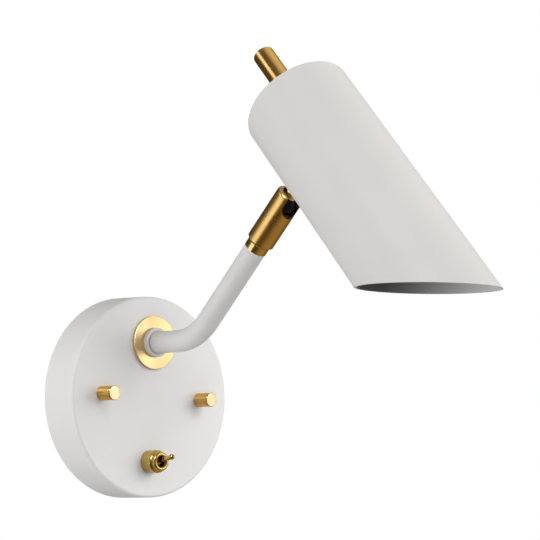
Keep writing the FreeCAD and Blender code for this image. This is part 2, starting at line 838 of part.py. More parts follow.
def make_arm():
    """Bent tube, swept along a level run, one bend and a rising run."""
    body = fresh("PartDesign::Body", "arm_tube")
    path = body.newObject("Sketcher::SketchObject", "arm_path")
    path.AttachmentSupport = [(origin_plane(body, "YZ_Plane"), "")]
    path.MapMode = "FlatFace"
    height = SIZES["arm_height"]
    start = Vector(-arm_foot.value, height, 0)
    bend_low, bend_high, finish = [Vector(spot.y, spot.z, 0) for spot in (bend_start, bend_end, arm_end)]
    # the bend's circle stands above its lower end, and its arc runs back down to there
    bend_circle = Part.Circle(bend_low + Vector(0, SIZES["arm_bend"], 0), Vector(0, 0, 1), SIZES["arm_bend"])
    quarter = math.pi / 2
    path.addGeometry(Part.LineSegment(start, bend_low), False)
    path.addGeometry(Part.ArcOfCircle(bend_circle, -quarter - rise, -quarter), False)
    path.addGeometry(Part.LineSegment(bend_high, finish), False)
    path.addConstraint(Sketcher.Constraint("Tangent", 0, 2, 1, 2))
    path.addConstraint(Sketcher.Constraint("Tangent", 1, 1, 2, 1))
    path.addConstraint(Sketcher.Constraint("Horizontal", 0))
    pin_point(path, 0, 1, -arm_foot, size.arm_height)
    for kind, places, length in (
        ("Distance", (0,), size.arm_straight - size.rosette_thickness),
        ("Radius", (1,), size.arm_bend),
        ("Distance", (2,), size.arm_reach),
    ):
        held = path.addConstraint(Sketcher.Constraint(kind, *places, value_of(length)))
        bind(path, "Constraints[%d]" % held, length)
    lean = path.addConstraint(Sketcher.Constraint("Angle", 2, 1, 0, 1, rise))
    path.setExpression("Constraints[%d]" % lean, "sizes.arm_rise")
    for kind, name, radius in (
        ("PartDesign::AdditivePipe", "outside", size.arm_radius),
        ("PartDesign::SubtractivePipe", "bore", arm_bore),
    ):
        section = body.newObject("Sketcher::SketchObject", name + "_section")
        section.AttachmentSupport = [(origin_plane(body, "XZ_Plane"), "")]
        section.MapMode = "FlatFace"
        section.AttachmentOffset = Placement(Vector(0, 0, arm_foot.value), Rotation())
        section.setExpression("AttachmentOffset.Base.z", arm_foot.text)
        section.addGeometry(Part.Circle(Vector(0, height, 0), Vector(0, 0, 1), radius.value), False)
        held = section.addConstraint(Sketcher.Constraint("Radius", 0, radius.value))
        bind(section, "Constraints[%d]" % held, radius)
        pin_point(section, 0, 3, 0.0, size.arm_height)
        pipe = body.newObject(kind, name)
        pipe.Profile = section
        pipe.Spine = (path, ["Edge1", "Edge2", "Edge3"])
        doc.recompute()
    name_part("arm_tube", body)


# ---------------------------------------------------------------- neck and knuckle
swivel_nut_low = floor_top + size.part_gap
swivel_nut_top = swivel_nut_low + size.swivel_nut_height
knuckle_inner = size.ball_radius + size.loose_gap
seat_low = pivot_height - size.seat_drop


def make_neck():
    """Brass end fitting: a tail in the tube, a collar, and the spigot the knuckle turns on."""
    bore = size.nipple_bore_radius
    tail = arm_bore - size.fit_gap
    fitting = turned([
        (bore, -size.neck_tail), (tail, -size.neck_tail), (tail, 0.0), (size.neck_radius, 0.0),
        (size.neck_radius, size.neck_length), (size.spigot_radius, size.neck_length),
        (size.spigot_radius, swivel_nut_top), (bore, swivel_nut_top),
    ])
    seat("neck_collar", fitting, neck_frame)
    spigot_clear = size.spigot_radius + size.fit_gap
    washer_top = knuckle_foot - size.fit_gap
    washer = ring(size.neck_radius - size.loose_gap, spigot_clear, size.neck_length, washer_top)
    seat("neck_washer", washer, neck_frame)
    blank = ring(size.swivel_nut_radius, spigot_clear, swivel_nut_low, swivel_nut_top)
    half_slot = size.swivel_slot / 2
    reach = size.swivel_nut_radius + OVER
    slot_low = swivel_nut_top - size.swivel_slot_depth
    slots = block(-reach, reach, -half_slot, half_slot, slot_low, swivel_nut_top + OVER)
    seat("swivel_nut", cut(blank, [slots]), neck_frame)


def make_knuckle():
    """Brass tube with a floor that turns on the spigot, a lip over the ball and a U notch."""
    lip_rise = leg(size.ball_radius, size.knuckle_lip_radius)
    lip_low = pivot_height + lip_rise + size.loose_gap
    cone_height = (knuckle_inner - size.knuckle_lip_radius) * size.knuckle_lip_radius / lip_rise
    bore = size.spigot_radius + size.slide_gap
    tube = turned([
        (bore, knuckle_foot), (size.knuckle_radius - size.knuckle_bevel, knuckle_foot),
        (size.knuckle_radius, knuckle_foot + size.knuckle_bevel), (size.knuckle_radius, knuckle_crown),
        (size.knuckle_lip_radius, knuckle_crown), (size.knuckle_lip_radius, lip_low),
        (knuckle_inner, lip_low - cone_height), (knuckle_inner, floor_top), (bore, floor_top),
    ])
    soften(tube, "Fillet", size.knuckle_round, [(size.knuckle_radius, knuckle_crown)])
    half = size.notch_width / 2
    reach = size.knuckle_radius * 2
    notch_centre = pivot_height + size.notch_rise
    notch = join([
        block(-half, half, -reach, 0.0, notch_centre, knuckle_crown + OVER),
        cross_rod(half, -reach, 0.0, z=notch_centre),
    ])
    seat("knuckle_body", cut(tube, [notch]), neck_frame)


def make_ball_seat():
    """Seat ring under the ball and the stack of disc springs that presses it up."""
    outer = knuckle_inner - size.slide_gap
    blank = ring(outer, size.seat_bore_radius, seat_low, seat_low + size.seat_height)
    hollow = ball(size.ball_radius + size.slide_gap, pivot_height)
    seat("ball_seat", cut(blank, [hollow]), neck_frame)
    stack_low = swivel_nut_top + size.part_gap
    pitch = (seat_low - stack_low) / size.spring_count
    thick = size.spring_thickness
    outer = knuckle_inner - size.loose_gap
    inner = size.seat_bore_radius
    discs = []
    for number in range(SIZES["spring_count"]):
        low = stack_low + pitch * number
        high = low + pitch - size.fit_gap
        if number % 2 == 0:
            profile = [(inner, high - thick), (outer, low), (outer, low + thick), (inner, high)]
        else:
            profile = [(inner, low), (outer, high - thick), (outer, high), (inner, low + thick)]
        discs.append(turned(profile))
    seat("disc_springs", group(discs), neck_frame)


# ---------------------------------------------------------------- head: stem
# distances from the pivot along the stem
wall_outside = size.shade_offset - size.shade_radius
stem_collar_low = wall_outside - size.stem_collar_length
clamp_face = wall_outside + size.shade_wall + size.saddle_thickness
stem_nut_low = clamp_face + size.bracket_sheet
stem_nut_top = stem_nut_low + size.stem_nut_height
stem_top = stem_nut_top + size.stem_end
shade_inner = size.shade_radius - size.shade_wall


def make_stem():
    """Hollow ball and stem, the collar outside the shade, the saddle and nut inside it."""
    solid = join([
        ball(size.ball_radius),
        rod(size.stem_neck_radius, 0.0, stem_collar_low),
        rod(size.stem_thread_radius, stem_collar_low, stem_top),
    ])
    below = -size.ball_radius - OVER
    tools = [
        rod(size.ball_radius + OVER, below, -size.ball_mouth),
        cone(size.seat_bore_radius, size.stem_bore_radius, -size.ball_mouth, 0.0),
        rod(size.stem_bore_radius, below, stem_top + OVER),
    ]
    seat("pivot_ball", cut(solid, tools), stem_frame)
    thread_clear = size.stem_thread_radius + size.fit_gap
    barrel = ring(size.stem_collar_radius, thread_clear, stem_collar_low, clamp_face)
    soften(barrel, "Chamfer", size.part_gap, [(size.stem_collar_radius, stem_collar_low)])
    reach = size.shade_radius
    hollow = cross_rod(size.shade_radius + size.fit_gap, -reach, reach, z=size.shade_offset)
    seat("stem_collar", cut(barrel, [hollow]), stem_frame)
    pad = ring(size.saddle_radius, thread_clear, wall_outside, clamp_face)
    inside = cross_rod(shade_inner - size.fit_gap, -reach, reach, z=size.shade_offset)
    seat("saddle_washer", common(pad, inside), stem_frame)
    seat("stem_nut", nut(size.stem_nut_flats, thread_clear, stem_nut_low, stem_nut_top), stem_frame)


# ---------------------------------------------------------------- head: shade and rod
def make_shade():
    """Closed cylinder whose mouth is cut off on a slant, longest on the side away from the stem."""
    foot = -size.shade_mouth - size.shade_radius * 2
    inner_top = size.shade_top - size.shade_wall
    tube = turned([
        (0.0, size.shade_top), (size.shade_radius, size.shade_top), (size.shade_radius, foot),
        (shade_inner, foot), (shade_inner, inner_top), (0.0, inner_top),
    ])
    soften(tube, "Fillet", size.shade_edge, [(size.shade_radius, size.shade_top)])
    reach = size.shade_radius * 4
    # the cutter's top face is centred on the mouth, about which the group turns
    slant = group([block(-reach, reach, -reach, reach, -reach, 0.0)])
    place(slant, z=-size.shade_mouth, turn=Rotation(across, SIZES["mouth_angle"]))
    slant.setExpression("Placement.Rotation.Angle", "sizes.mouth_angle")
    holes = [
        slant,
        cross_rod(size.stem_thread_radius + size.slide_gap, 0.0, size.shade_radius + OVER),
        rod(size.rod_screw_radius + size.slide_gap, 0.0, size.shade_top + OVER),
    ]
    seat("shade", cut(tube, holes), shade_frame)


def make_rod():
    """Brass rod on the shade's top, held by a screw and washer from the inside."""
    bore = size.rod_screw_radius + size.fit_gap
    inner_top = size.shade_top - size.shade_wall
    washer_low = inner_top - size.washer_thickness
    depth = size.rod_screw_length - size.shade_wall - size.washer_thickness + size.part_gap
    bar = turned([
        (bore, 0.0), (size.rod_radius, 0.0), (size.rod_radius, size.rod_length), (0.0, size.rod_length),
        (0.0, depth), (bore, depth),
    ])
    soften(bar, "Fillet", size.rod_edge, [(size.rod_radius, size.rod_length)])
    seat("rod_handle", bar, shade_frame * Placement(Vector(0, 0, SIZES["shade_top"]), Rotation()))
    seat("rod_washer", ring(size.rod_washer_radius, bore, washer_low, inner_top), shade_frame)
    bolt = screw(size.rod_screw_head_radius, size.rod_screw_head_height, size.rod_screw_radius,
                 size.rod_screw_length)
    under_washer = Placement(Vector(0, 0, washer_low.value), Rotation(across, 180))
    seat("rod_screw", bolt, shade_frame * under_washer)


# ---------------------------------------------------------------- head: lamp and holder
shelf_top = size.bracket_shelf + size.bracket_sheet
holder_low = size.bracket_shelf - size.holder_height
lamp_top = holder_low - size.fit_gap
lead_side = size.lead_radius + size.slide_gap


def make_holder_bracket():
    """Steel angle: its foot is clamped by the stem nut, its shelf carries the lamp holder."""
    foot_face = size.shade_offset - clamp_face
    half = size.bracket_width / 2
    sheet_metal = join([
        block(-half, half, foot_face - size.bracket_sheet, foot_face, -size.bracket_foot, shelf_top),
        block(-half, half, 0.0, foot_face, size.bracket_shelf, shelf_top),
        rod(size.bracket_reach, size.bracket_shelf, shelf_top),
    ])
    low = size.bracket_shelf - OVER
    high = shelf_top + OVER
    holes = [
        cross_rod(size.stem_thread_radius + size.slide_gap, 0.0, foot_face + OVER),
        rod(size.stem_bore_radius, low, high, y=size.lead_stem_side),
        rod(size.stem_bore_radius, low, high, y=size.lead_pin_side),
    ]
    for side in (-1, 1):
        holes.append(rod(size.holder_screw_radius + size.slide_gap, low, high,
                         x=size.holder_screw_spacing / 2 * side))
    seat("holder_bracket", cut(sheet_metal, holes), shade_frame)


def make_holder():
    """Round ceramic holder with two pin sockets, and the screws that hang it from the shelf."""
    body = rod_body(size.holder_radius, holder_low, size.bracket_shelf)
    soften(body, "Fillet", size.holder_round, [(size.holder_radius, holder_low)])
    pin_top = lamp_top + size.pin_length + size.loose_gap
    screw_depth = size.holder_height / 2
    holes = []
    screws = []
    for side in (-1, 1):
        holes.append(rod(size.pin_radius + size.loose_gap, holder_low - OVER, pin_top,
                         y=size.pin_spacing / 2 * side))
        x = size.holder_screw_spacing / 2 * side
        holes.append(rod(size.holder_screw_radius + size.fit_gap, size.bracket_shelf - screw_depth,
                         size.bracket_shelf + OVER, x=x))
        bolt = screw(size.small_head_radius, size.holder_screw_radius, size.holder_screw_radius, screw_depth)
        screws.append(place(bolt, x=x, z=shelf_top))
    seat("lamp_holder", cut(body, holes), shade_frame)
    seat("holder_screws", group(screws), shade_frame)


def make_lamp():
    """Reflector lamp: two headed pins, a neck, a flared bowl, and a lens in its rim."""
    face = lamp_top - size.lamp_length
    recess = face + size.lens_thickness
    neck_low = lamp_top - size.lamp_neck_length
    bowl = [(size.lamp_radius * across_share, neck_low - (neck_low - face) * down_share)
            for across_share, down_share in BOWL]
    bulb = turned([
        (0.0, lamp_top), (size.lamp_neck_radius, lamp_top), (size.lamp_neck_radius, neck_low), *bowl,
        (size.lamp_radius, face), (size.lens_radius + size.fit_gap, face),
        (size.lens_radius + size.fit_gap, recess), (0.0, recess),
    ])
    pieces = [bulb]
    pin_neck = lamp_top + size.pin_length / 2
    for side in (-1, 1):
        y = size.pin_spacing / 2 * side
        pieces.append(rod(size.pin_neck_radius, lamp_top - OVER, pin_neck + OVER, y=y))
        pieces.append(rod(size.pin_radius, pin_neck, lamp_top + size.pin_length, y=y))
    seat("reflector_lamp", join(pieces), shade_frame)
    lens = rod_body(size.lens_radius, face, recess)
    soften(lens, "Fillet", size.lens_round, [(size.lens_radius, face)])
    seat("lamp_lens", lens, shade_frame)


# ---------------------------------------------------------------- wires
def make_arm_flex():
    """Sleeved cable from the plate through the nipple, along the arm and up into the knuckle."""
    start = Vector(0, -flex_start.value, SIZES["arm_height"])
    top = arm_end + arm_line * (seat_low.value - SIZES["part_gap"])
    path = Part.Wire([
        Part.LineSegment(start, bend_start).toShape(),
        Part.Arc(bend_start, bend_middle, bend_end).toShape(),
        Part.LineSegment(bend_end, top).toShape(),
    ])
    made = fresh("Part::Feature", "arm_flex")
    made.Shape = sweep(path, SIZES["flex_radius"])
    name_part("arm_flex", made)


def make_leads():
    """Single cores inside the backplate, as (x, up, out) points, and the head's two leads."""
    radius = SIZES["lead_radius"]
    arm_up = SIZES["arm_height"]
    pole = SIZES["block_pitch"]
    turn = SIZES["lead_turn"]
    block_top = SIZES["block_height"] / 2 - SIZES["block_centre_drop"]
    block_foot = block_top - SIZES["block_height"]
    block_out = SIZES["strap_thickness"] + SIZES["block_web"]
    tab_up = -SIZES["switch_drop"]
    tab_side = SIZES["terminal_spread"] + SIZES["part_gap"] + SIZES["fit_gap"]
    # three cores leave the flex side by side, then part
    circle = SIZES["core_circle"]
    side = circle * math.cos(math.pi / 6)
    low = arm_up - circle / 2
    begin = flex_start.value
    part_out = begin - SIZES["lead_fan"]
    wire_piece("neutral_lead", [[
        (0, arm_up + circle, begin), (0, arm_up + circle, part_out - radius * 2),
        (pole, block_top + turn * 2, block_out), (pole, block_top - SIZES["lead_grip"], block_out),
    ]], radius, plate_frame)
    wide = pole * 2 + radius
    wire_piece("switched_lead", [[
        (side, low, begin), (side, low, part_out), (wide, turn, block_out), (wide, tab_up, block_out),
        (tab_side, tab_up, block_out),
    ]], radius, plate_frame)
    wire_piece("feed_lead", [[
        (-pole, block_foot + SIZES["lead_grip"], block_out), (-pole, tab_up, block_out),
        (-tab_side, tab_up, block_out),
    ]], radius, plate_frame)
    earth_x = -SIZES["earth_offset"]
    lug_up = lug_barrel_end.value
    lug_out = lug_barrel_height.value
    wire_piece("earth_lead", [[
        (-side, low, begin), (-side, low, part_out), (earth_x, lug_up + turn, lug_out),
        (earth_x, lug_up, lug_out),
    ]], radius, plate_frame)
    stem_inside = (size.shade_offset - stem_top).value + SIZES["lead_tuck"]
    over_shelf = shelf_top.value + turn
    stem_side = SIZES["lead_stem_side"]
    pin_side = SIZES["lead_pin_side"]
    runs = []
    for x in (-lead_side.value, lead_side.value):
        runs.append([
            (x, stem_inside, 0), (x, stem_side, 0), (x, stem_side, over_shelf), (x, pin_side, over_shelf),
            (x, pin_side, SIZES["bracket_shelf"] + SIZES["fit_gap"]),
        ])
    wire_piece("lamp_leads", runs, radius, shade_frame)


# ---------------------------------------------------------------- build and export
make_bracket()
make_grommet()
make_studs()
make_backplate()
make_thumb_nuts()
make_earth_point()
make_terminal_block()
make_switch()
make_arm_foot()
make_arm()
make_neck()
make_knuckle()
make_ball_seat()
make_stem()
make_shade()
make_rod()
make_holder_bracket()
make_holder()
make_lamp()
make_arm_flex()
make_leads()
doc.recompute()

for thing in doc.Objects:
    if "Invalid" in thing.State or "Error" in thing.State:
        raise RuntimeError("%s (%s) did not build" % (thing.Label, thing.TypeId))
for thing in subparts:
    if thing.Shape.isNull() or not thing.Shape.isValid():
        raise RuntimeError("%s has no valid shape" % thing.Label)
    if not thing.Shape.Solids:
        raise RuntimeError("%s has no solid" % thing.Label)

os.makedirs("parts", exist_ok=True)
for thing in subparts:
    thing.Shape.exportStep("parts/%s.step" % thing.Label)
    print("%-22s %d solid(s) %10.1f mm3" % (thing.Label, len(thing.Shape.Solids), thing.Shape.Volume))
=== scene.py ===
# %% [markdown]
# # Dressing a wall reading lamp
# The lamp's shapes arrive finished: every turned, drawn and bent piece is a mesh in metres, standing where
# it belongs, and it rides on the body that moves it. This lesson gives those shapes their finishes, and
# then builds a small studio round them: a camera, soft lamps, a dark tent for the brass and a floor.

# %% Load the lamp's shapes
import json
import math

import bpy
from mathutils import Matrix, Quaternion, Vector


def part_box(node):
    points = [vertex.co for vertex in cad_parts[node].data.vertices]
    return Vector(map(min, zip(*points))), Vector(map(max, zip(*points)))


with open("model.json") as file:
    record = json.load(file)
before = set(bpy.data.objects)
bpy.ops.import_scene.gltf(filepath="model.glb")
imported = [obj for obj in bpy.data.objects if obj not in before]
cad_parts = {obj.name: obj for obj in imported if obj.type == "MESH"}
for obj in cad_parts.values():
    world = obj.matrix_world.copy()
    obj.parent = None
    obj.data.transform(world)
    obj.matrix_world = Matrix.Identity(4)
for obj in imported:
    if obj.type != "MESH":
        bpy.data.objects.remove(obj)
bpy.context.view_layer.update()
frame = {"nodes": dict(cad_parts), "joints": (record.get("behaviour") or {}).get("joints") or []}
nodes = frame["nodes"]

# %% [markdown]
# ## Where things are
# Several finishes follow a piece's own axis, because a lathe leaves rings round it. The joint that
# swivels the knuckle gives us the pivot and the direction of the arm's upper run. The stem leans at a
# known angle and enters the shade square to the shade's own axis. We write these lines down once.
# `shade_centre` is the point of the shade's axis that the stem points at.

# %% Axes of the round pieces
STEM_LEAN = math.radians(42.5)
STEM_LENGTH = 0.04435

joints = {joint["name"]: joint for joint in frame["joints"]}
pivot = Vector(joints["knuckle_swivel"]["pos_m"])
arm_line = Vector(joints["knuckle_swivel"]["axis"])
out_of_wall = Vector((0, -1, 0))
stem_line = Vector((0, -math.cos(STEM_LEAN), math.sin(STEM_LEAN)))
shade_line = Vector((0, math.sin(STEM_LEAN), math.cos(STEM_LEAN)))
shade_centre = pivot + stem_line * STEM_LENGTH
print("pivot", [round(value, 4) for value in pivot])

# %% [markdown]
# ## The camera
# The photograph looks slightly up at the lamp from its left. A long lens keeps the round plate and the
# shade nearly free of perspective. The camera's place was found by matching edges of the plate, the
# arm and the shade, and the picture is rolled a little to one side. We build the camera's three
# directions, right, up and back, and set them beside each other as the columns of a matrix: that
# turns the camera without any guesswork about the order of angles.

# %% Set up the camera
AZIMUTH = math.radians(-43.24)
ELEVATION = math.radians(-6.466)
ROLL = math.radians(1.412)
EYE = Vector((-0.82639, -1.00504, -0.06703))
LENS = 142.56
SENSOR = 36

right = Vector((math.cos(AZIMUTH), math.sin(AZIMUTH), 0))
back = Vector((
    math.sin(AZIMUTH) * math.cos(ELEVATION),
    -math.cos(AZIMUTH) * math.cos(ELEVATION),
    math.sin(ELEVATION),
))
up = back.cross(right)
picture_x = right * math.cos(ROLL) + up * math.sin(ROLL)
picture_y = up * math.cos(ROLL) - right * math.sin(ROLL)
camera_turn = Matrix((picture_x, picture_y, back)).transposed().to_4x4()

camera_data = bpy.data.cameras.new("camera")
camera_data.lens = LENS
camera_data.sensor_width = SENSOR
camera = bpy.data.objects.new("camera", camera_data)
camera.matrix_world = Matrix.Translation(EYE) @ camera_turn
bpy.context.scene.collection.objects.link(camera)
bpy.context.scene.camera = camera
print("lens", LENS, "mm")

# %% [markdown]
# ## Helpers for nodes
# A material is a small network of nodes. `connect` puts a plain value on a socket, or links another
# node's output to it. `add` makes a node and fills its sockets in one line, so that a finish reads
# from top to bottom like a recipe.

# %% Helpers: nodes and links
def connect(tree, value, socket):
    """Link an output to a socket, or write a plain value on it."""
    if isinstance(value, bpy.types.NodeSocket):
        tree.links.new(value, socket)
    else:
        socket.default_value = value


def add(tree, kind, inputs=None, **settings):
    """Make a node of a kind, such as "TexNoise", with its settings and inputs."""
    node = tree.nodes.new("ShaderNode" + kind)
    for name, value in settings.items():
        setattr(node, name, value)
    for name, value in (inputs or {}).items():
        connect(tree, value, node.inputs[name])
    return node


print("helpers: connect, add")

# %% [markdown]
# ## Helpers for values
# Noise gives a number for every point of a surface, but seldom the number that we need. `calculate` is
# one step of arithmetic on it. `scaled` carries it from one range to another and holds it there, which
# turns a noise into a mask, or a mask into a roughness.

# %% Helpers: arithmetic
def calculate(tree, operation, first, second=0.0):
    """One step of arithmetic."""
    return add(tree, "Math", {0: first, 1: second}, operation=operation).outputs[0]


def scaled(tree, value, low, high, new_low, new_high):
    """Carry a value from one range to another, and hold it there."""
    return add(tree, "MapRange", {
        "Value": value, "From Min": low, "From Max": high, "To Min": new_low, "To Max": new_high,
    }).outputs["Result"]


print("helpers: calculate, scaled")

# %% [markdown]
# ## A helper for shared effects
# Several finishes need the same effect in a different measure. A node group holds such an effect once,
# with named sockets, as a function does. `given` is what the group receives, and `wanted` is what it
# has to put out. Our groups give only masks and heights that change over the surface, and each
# material decides what to do with them.

# %% Helper: a new node group
def new_group(name, inputs, outputs):
    """An empty node group with named sockets: inputs hold (name, kind, default)."""
    tree = bpy.data.node_groups.new(name, "ShaderNodeTree")
    for label, kind, default in inputs:
        socket = tree.interface.new_socket(label, in_out="INPUT", socket_type="NodeSocket" + kind)
        socket.default_value = default
    for label, kind in outputs:
        tree.interface.new_socket(label, in_out="OUTPUT", socket_type="NodeSocket" + kind)
    given = tree.nodes.new("NodeGroupInput").outputs
    wanted = tree.nodes.new("NodeGroupOutput").inputs
    return tree, given, wanted


print("helper: new_group")

# %% [markdown]
# ## Shared effect: powder coat
# Powder coat is sprayed on dry and melts into a skin. It is matte, with a very fine pebble, faint
# clouds in its tone, and now and then a speck of dust under it. All this could be painted on an image,
# but noise that reads a point's place in metres needs no unwrapping, and has its true size on every
# piece. For the specks, a Voronoi texture splits the surface into cells with a random tone each: only
# the rarest tones are chosen, and only near the middle of their cell. The scales count per metre.

# %% Group: powder coat
SPECK_RARITY = (0.955, 0.96)
SPECK_EDGE = (0.10, 0.05)

coat_group, given, wanted = new_group(
    "powder_coat",
    [("Pebble", "Float", 1600.0), ("Cloud", "Float", 14.0), ("Dust", "Float", 260.0)],
    [("Height", "Float"), ("Cloud", "Float"), ("Speck", "Float")],
)
place = add(coat_group, "TexCoord").outputs["Object"]
pebble = add(coat_group, "TexNoise", {"Vector": place, "Scale": given["Pebble"], "Detail": 2.0})
cloud = add(coat_group, "TexNoise", {"Vector": place, "Scale": given["Cloud"], "Detail": 3.0})
grains = add(coat_group, "TexVoronoi", {"Vector": place, "Scale": given["Dust"]})
few = scaled(coat_group, grains.outputs["Color"], *SPECK_RARITY, 0.0, 1.0)
near = scaled(coat_group, grains.outputs["Distance"], *SPECK_EDGE, 0.0, 1.0)
connect(coat_group, pebble.outputs[0], wanted["Height"])
connect(coat_group, cloud.outputs[0], wanted["Cloud"])
connect(coat_group, calculate(coat_group, "MULTIPLY", few, near), wanted["Speck"])
print(coat_group.name, "has", len(coat_group.nodes), "nodes")

# %% [markdown]
# ## Round an axis
# On a piece that is round about an axis, two distances say where a point lies: how far along the axis,
# and how far out from it. A dot product gives the first. The second is the other short side of a right
# triangle, whose long side is the straight distance to the centre.

# %% Helper: along an axis and out from it
def along_and_out(tree, centre, axis):
    """Two distances of a point of the surface: along an axis through a centre, and out from it."""
    place = add(tree, "TexCoord").outputs["Object"]
    offset = add(tree, "VectorMath", {0: place, 1: centre}, operation="SUBTRACT").outputs[0]
    along = add(tree, "VectorMath", {0: offset, 1: axis}, operation="DOT_PRODUCT").outputs["Value"]
    reach = add(tree, "VectorMath", {0: offset}, operation="LENGTH").outputs["Value"]
    reach_squared = calculate(tree, "POWER", reach, 2.0)
    along_squared = calculate(tree, "POWER", along, 2.0)
    out_squared = calculate(tree, "MAXIMUM", calculate(tree, "SUBTRACT", reach_squared, along_squared), 0.0)
    return along, calculate(tree, "SQRT", out_squared)


print("helper: along_and_out")

# %% [markdown]
# ## Shared effect: lathe marks
# A turning tool leaves fine rings on the barrel of a piece and circles on its end face. They are far
# too fine to be cut into a mesh, so a bump stands for them. Noise that reads only the two distances of
# the last step is the same all the way round, as real lathe marks are. The pitch counts marks per
# metre. A fine noise gives the height of the marks, and a coarse one the broader streaks among them.

# %% Group: lathe marks
STREAK_SIZE = 0.22

lathe_group, given, wanted = new_group(
    "lathe_marks",
    [("Centre", "Vector", (0, 0, 0)), ("Axis", "Vector", (0, 0, 1)), ("Pitch", "Float", 2200.0)],
    [("Height", "Float"), ("Streak", "Float")],
)
along, outward = along_and_out(lathe_group, given["Centre"], given["Axis"])
rings = add(lathe_group, "CombineXYZ", {
    "X": calculate(lathe_group, "MULTIPLY", along, given["Pitch"]),
    "Y": calculate(lathe_group, "MULTIPLY", outward, given["Pitch"]),
}).outputs[0]
fine = add(lathe_group, "TexNoise", {"Vector": rings, "Scale": 1.0, "Detail": 3.0})
coarse = add(lathe_group, "TexNoise", {"Vector": rings, "Scale": STREAK_SIZE, "Detail": 1.0})
connect(lathe_group, fine.outputs[0], wanted["Height"])
connect(lathe_group, coarse.outputs[0], wanted["Streak"])
print(lathe_group.name, "has", len(lathe_group.nodes), "nodes")

# %% [markdown]
# ## Shared effect: handling
# Bare metal that is touched gets a soft haze in patches, and a slightly deeper tone where the lacquer
# is thick. Two noises at different sizes stand for them, because one alone would look like a pattern.
# Every other smooth surface drifts a little in the same way, so the plainer finishes use this group
# too. A noise's values crowd round a half, so we stretch the part of its range that it really fills.

# %% Group: handling
PATCH_SPAN = (0.35, 0.7)
SMEAR_SPAN = (0.3, 0.75)

handling_group, given, wanted = new_group(
    "handling",
    [("Patch", "Float", 90.0), ("Smear", "Float", 420.0)],
    [("Haze", "Float"), ("Tone", "Float")],
)
place = add(handling_group, "TexCoord").outputs["Object"]
patch = add(handling_group, "TexNoise", {"Vector": place, "Scale": given["Patch"], "Detail": 4.0})
smear = add(handling_group, "TexNoise", {"Vector": place, "Scale": given["Smear"], "Detail": 2.0})
connect(handling_group, scaled(handling_group, patch.outputs[0], *PATCH_SPAN, 0.0, 1.0), wanted["Haze"])
connect(handling_group, scaled(handling_group, smear.outputs[0], *SMEAR_SPAN, 0.0, 1.0), wanted["Tone"])
print(handling_group.name, "has", len(handling_group.nodes), "nodes")

# %% [markdown]
# ## Helpers for materials
# Each finish starts from Blender's Principled shader. Numbers that are the same all over a surface go
# on the shader's own sockets, and what changes over the surface is linked. `use_group` places one of
# the shared effects in a material with its own values, `blended` mixes two colours by a mask, and
# `finish` gives a material to pieces of the lamp.

# %% Helpers: materials
def use_group(tree, group, **inputs):
    """Place a group in a material, with its own values."""
    node = tree.nodes.new("ShaderNodeGroup")
    node.node_tree = group
    for name, value in inputs.items():
        connect(tree, value, node.inputs[name])
    return node.outputs


def blended(tree, share, first, second):
    """Mix two colours by a share."""
    mix = add(tree, "Mix", data_type="RGBA")
    connect(tree, share, mix.inputs[0])
    connect(tree, first, mix.inputs[6])
    connect(tree, second, mix.inputs[7])
    return mix.outputs[2]


def new_material(name, **settings):
    """A material with a Principled shader, whose uniform numbers are set on its own sockets."""
    material = bpy.data.materials.new(name)
    material.use_nodes = True
    shader = material.node_tree.nodes["Principled BSDF"]
    for label, value in settings.items():
        shader.inputs[label.replace("_", " ")].default_value = value
    return material, material.node_tree, shader.inputs


def finish(material, *names):
    """Give a material to pieces of the lamp."""
    for name in names:
        mesh = nodes[name].data
        mesh.materials.clear()
        mesh.materials.append(material)
    print(material.name, "->", ", ".join(names))


print("helpers: use_group, blended, new_material, finish")

# %% [markdown]
# ## White powder coat
# Plate, arm, collar and shade wear the same kind of skin. It is matte, so its roughness is high and its
# highlight soft, and its tone drifts by a few percent. The group supplies the clouds, the specks and the
# pebble. Each piece is given its own tone of the one white: the plate lighter, the arm and the shade
# darker. These are lit and shaded copies of the same coat, which is painted light and shade. A piece may
# also be given a function that changes the colour inside it. `NOISE_SPAN` is the part of a noise's range
# that holds nearly all its values.

# %% Recipe: white coat
NOISE_SPAN = (0.3, 0.7)
# Tones of one white: lighter on the plate, darker on the arm, as painted light and shade.
PLATE_WHITE_PAINTED_LIGHTER = (0.765, 0.758, 0.75)
ARM_WHITE_PAINTED_DARKER = (0.68, 0.671, 0.665)
COAT_DARKER = 0.955
COAT_ROUGHNESS = (0.47, 0.55)
COAT_PEBBLE = 0.12
COAT_LIFT = 0.0001
DUST_GREY = (0.32, 0.30, 0.28, 1)
DUST_SHARE = 0.35


def white_coat(name, tone, clouds, inside_tone=None):
    """A white powder coat: tone is its colour, clouds how many of them lie in a metre."""
    material, tree, shader = new_material(name)
    coat = use_group(tree, coat_group, Cloud=clouds)
    darker = [channel * COAT_DARKER for channel in tone] + [1]
    cloud_mask = scaled(tree, coat["Cloud"], *NOISE_SPAN, 0.0, 1.0)
    clouded = blended(tree, cloud_mask, (*tone, 1), darker)
    speckled = blended(tree, calculate(tree, "MULTIPLY", coat["Speck"], DUST_SHARE), clouded, DUST_GREY)
    connect(tree, inside_tone(tree, speckled) if inside_tone else speckled, shader["Base Color"])
    connect(tree, scaled(tree, coat["Cloud"], *NOISE_SPAN, *COAT_ROUGHNESS), shader["Roughness"])
    bump = add(tree, "Bump", {"Strength": COAT_PEBBLE, "Distance": COAT_LIFT, "Height": coat["Height"]})
    connect(tree, bump.outputs[0], shader["Normal"])
    return material


finish(white_coat("white_coat_plate", PLATE_WHITE_PAINTED_LIGHTER, clouds=16.0), "backplate")
finish(white_coat("white_coat_arm", ARM_WHITE_PAINTED_DARKER, clouds=30.0), "arm_tube", "arm_collar")
